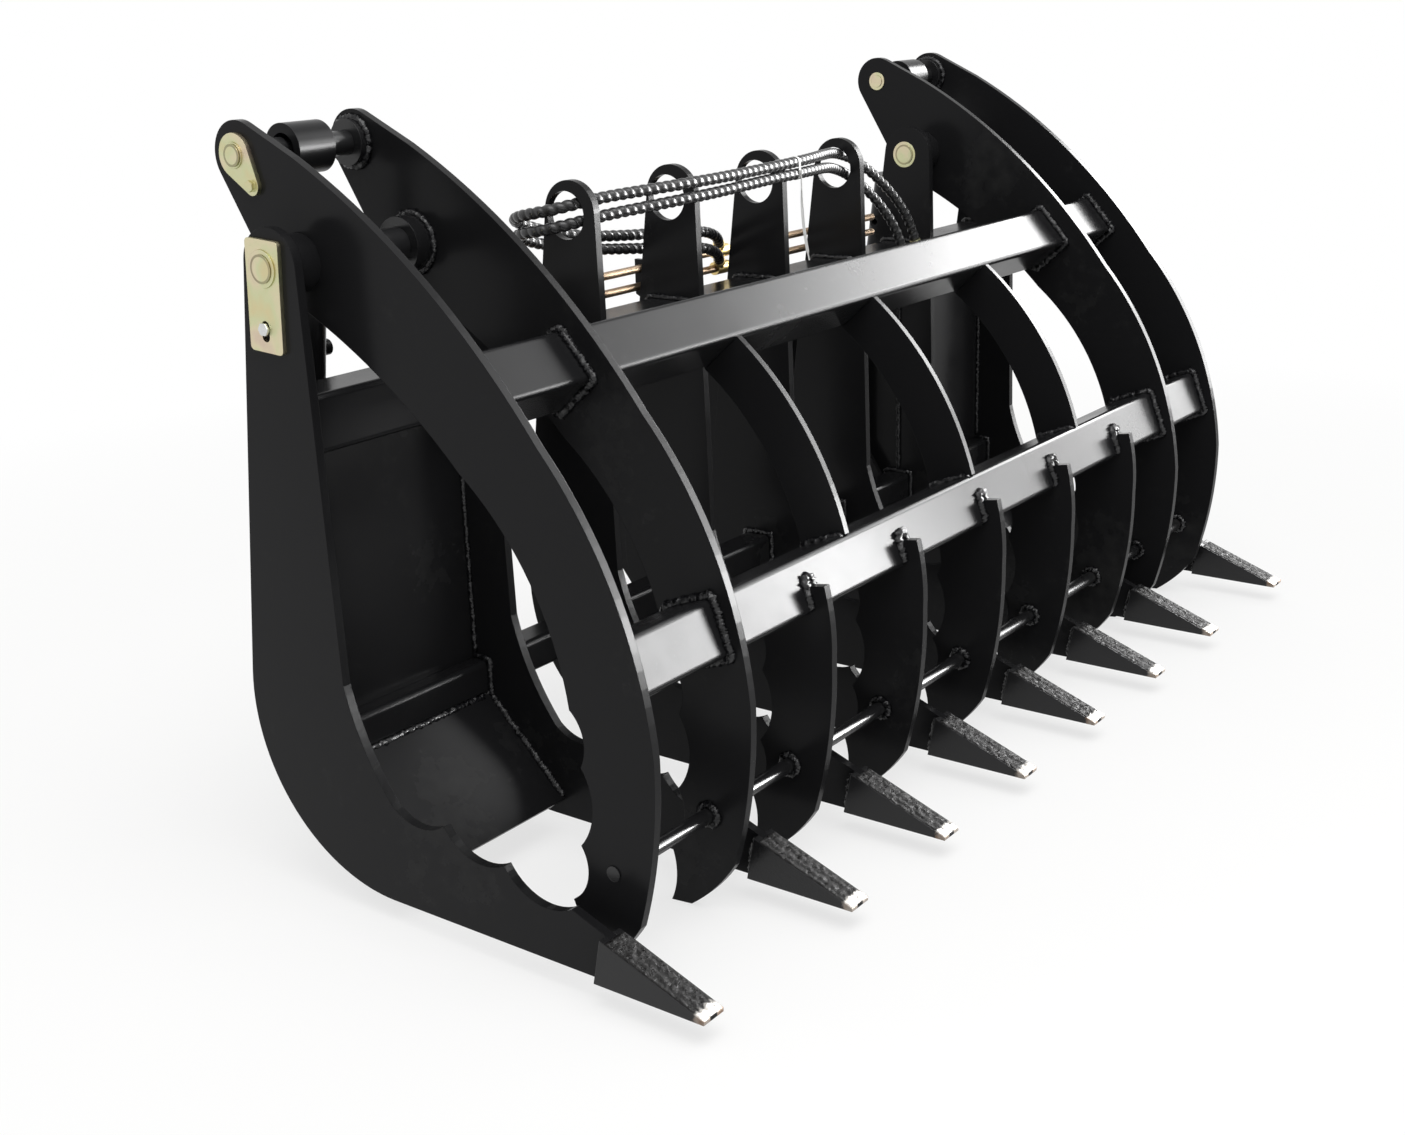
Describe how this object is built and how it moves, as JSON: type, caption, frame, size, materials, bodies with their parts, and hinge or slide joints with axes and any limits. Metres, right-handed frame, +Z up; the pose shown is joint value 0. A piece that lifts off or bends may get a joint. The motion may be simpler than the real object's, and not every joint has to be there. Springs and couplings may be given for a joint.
{
  "type": "root rake grapple",
  "caption": "Skid steer root rake grapple: toothed tines on a square-tube frame, with one wide hinged clamp worked by two hydraulic cylinders.",
  "frame": {"origin": "middle of the box's underside with the clamp closed: between the end tines, halfway from the tooth tips to the cylinder lugs, level with the clamp's lowest points", "axes": "+X to the right seen from the loader's seat, along the pivot; -Y towards the tooth tips; +Z up"},
  "size_m": [1.8392, 0.8536, 1.0069],
  "materials": {
    "black_paint": "gloss black enamel",
    "tooth_paint": "gloss black enamel worn to steel at the tips",
    "cylinder_paint": "gloss black",
    "yellow_zinc": "yellow zinc plate",
    "line_steel": "dull steel tube",
    "brass": "plated fitting",
    "chrome": "hard chrome",
    "hose": "rubber hose in a spiral plastic guard"
  },
  "bodies": {
    "root": {"end_tine_left": "black_paint", "lug_tine_left": "black_paint", "tine_1": "black_paint", "tine_2": "black_paint", "tine_3": "black_paint", "tine_4": "black_paint", "lug_tine_right": "black_paint", "end_tine_right": "black_paint", "tooth_plates_left": "tooth_paint", "tooth_plates_right": "tooth_paint", "top_beam": "black_paint", "lower_tube": "black_paint", "back_plate_left": "black_paint", "back_plate_right": "black_paint", "corner_plate_left": "black_paint", "corner_plate_right": "black_paint", "attach_top_lip": "black_paint", "attach_plate_left": "black_paint", "attach_plate_right": "black_paint", "attach_flanges": "black_paint", "attach_gussets": "black_paint", "cylinder_lugs_left": "black_paint", "cylinder_lugs_right": "black_paint", "pivot_pins": "yellow_zinc", "pivot_keepers": "yellow_zinc", "keeper_bolts": "yellow_zinc", "base_pins": "yellow_zinc", "steel_lines": "line_steel", "line_brackets": "black_paint", "line_tees": "brass", "hose_upper": "hose", "hose_lower": "hose", "hose_coupler_upper": "yellow_zinc", "hose_coupler_lower": "yellow_zinc"},
    "clamp": {"arm_outer_left": "black_paint", "arm_inner_left": "black_paint", "arm_inner_right": "black_paint", "arm_outer_right": "black_paint", "clamp_top_bar": "black_paint", "clamp_mid_bar": "black_paint", "clamp_ribs": "black_paint", "finger_1": "black_paint", "finger_2": "black_paint", "finger_3": "black_paint", "finger_4": "black_paint", "finger_5": "black_paint", "tie_bar": "black_paint", "arm_bushes": "black_paint", "rod_pins": "yellow_zinc", "rod_pin_keepers": "yellow_zinc"},
    "barrel_left": {"barrel_left": "cylinder_paint", "gland_left": "cylinder_paint"},
    "rod_left": {"rod_left": "chrome"},
    "barrel_right": {"barrel_right": "cylinder_paint", "gland_right": "cylinder_paint"},
    "rod_right": {"rod_right": "chrome"}
  },
  "joints": [
    {"name": "clamp_hinge", "type": "hinge", "parent": "root", "child": "clamp", "pos_m": [0, 0.20475, 0.84], "axis": [-1, 0, 0], "range_deg": [0, 55]},
    {"name": "left_barrel_tilt", "type": "hinge", "parent": "root", "child": "barrel_left", "pos_m": [-0.75025, 0.39275, 0.361], "axis": [-1, 0, 0], "range_deg": [0, 6.03]},
    {"name": "left_rod_slide", "type": "slide", "parent": "barrel_left", "child": "rod_left", "axis": [0, 0.1474, -0.9891], "range_m": [0, 0.13609]},
    {"name": "right_barrel_tilt", "type": "hinge", "parent": "root", "child": "barrel_right", "pos_m": [0.75025, 0.39275, 0.361], "axis": [-1, 0, 0], "range_deg": [0, 6.03]},
    {"name": "right_rod_slide", "type": "slide", "parent": "barrel_right", "child": "rod_right", "axis": [0, 0.1474, -0.9891], "range_m": [0, 0.13609]}
  ],
  "couplings": [
    {"joint": "left_barrel_tilt", "follows": "clamp_hinge", "ratio": 0.1094},
    {"joint": "left_rod_slide", "follows": "clamp_hinge", "m_per_rad": 0.14156},
    {"joint": "right_barrel_tilt", "follows": "clamp_hinge", "ratio": 0.1094},
    {"joint": "right_rod_slide", "follows": "clamp_hinge", "m_per_rad": 0.14156}
  ]
}
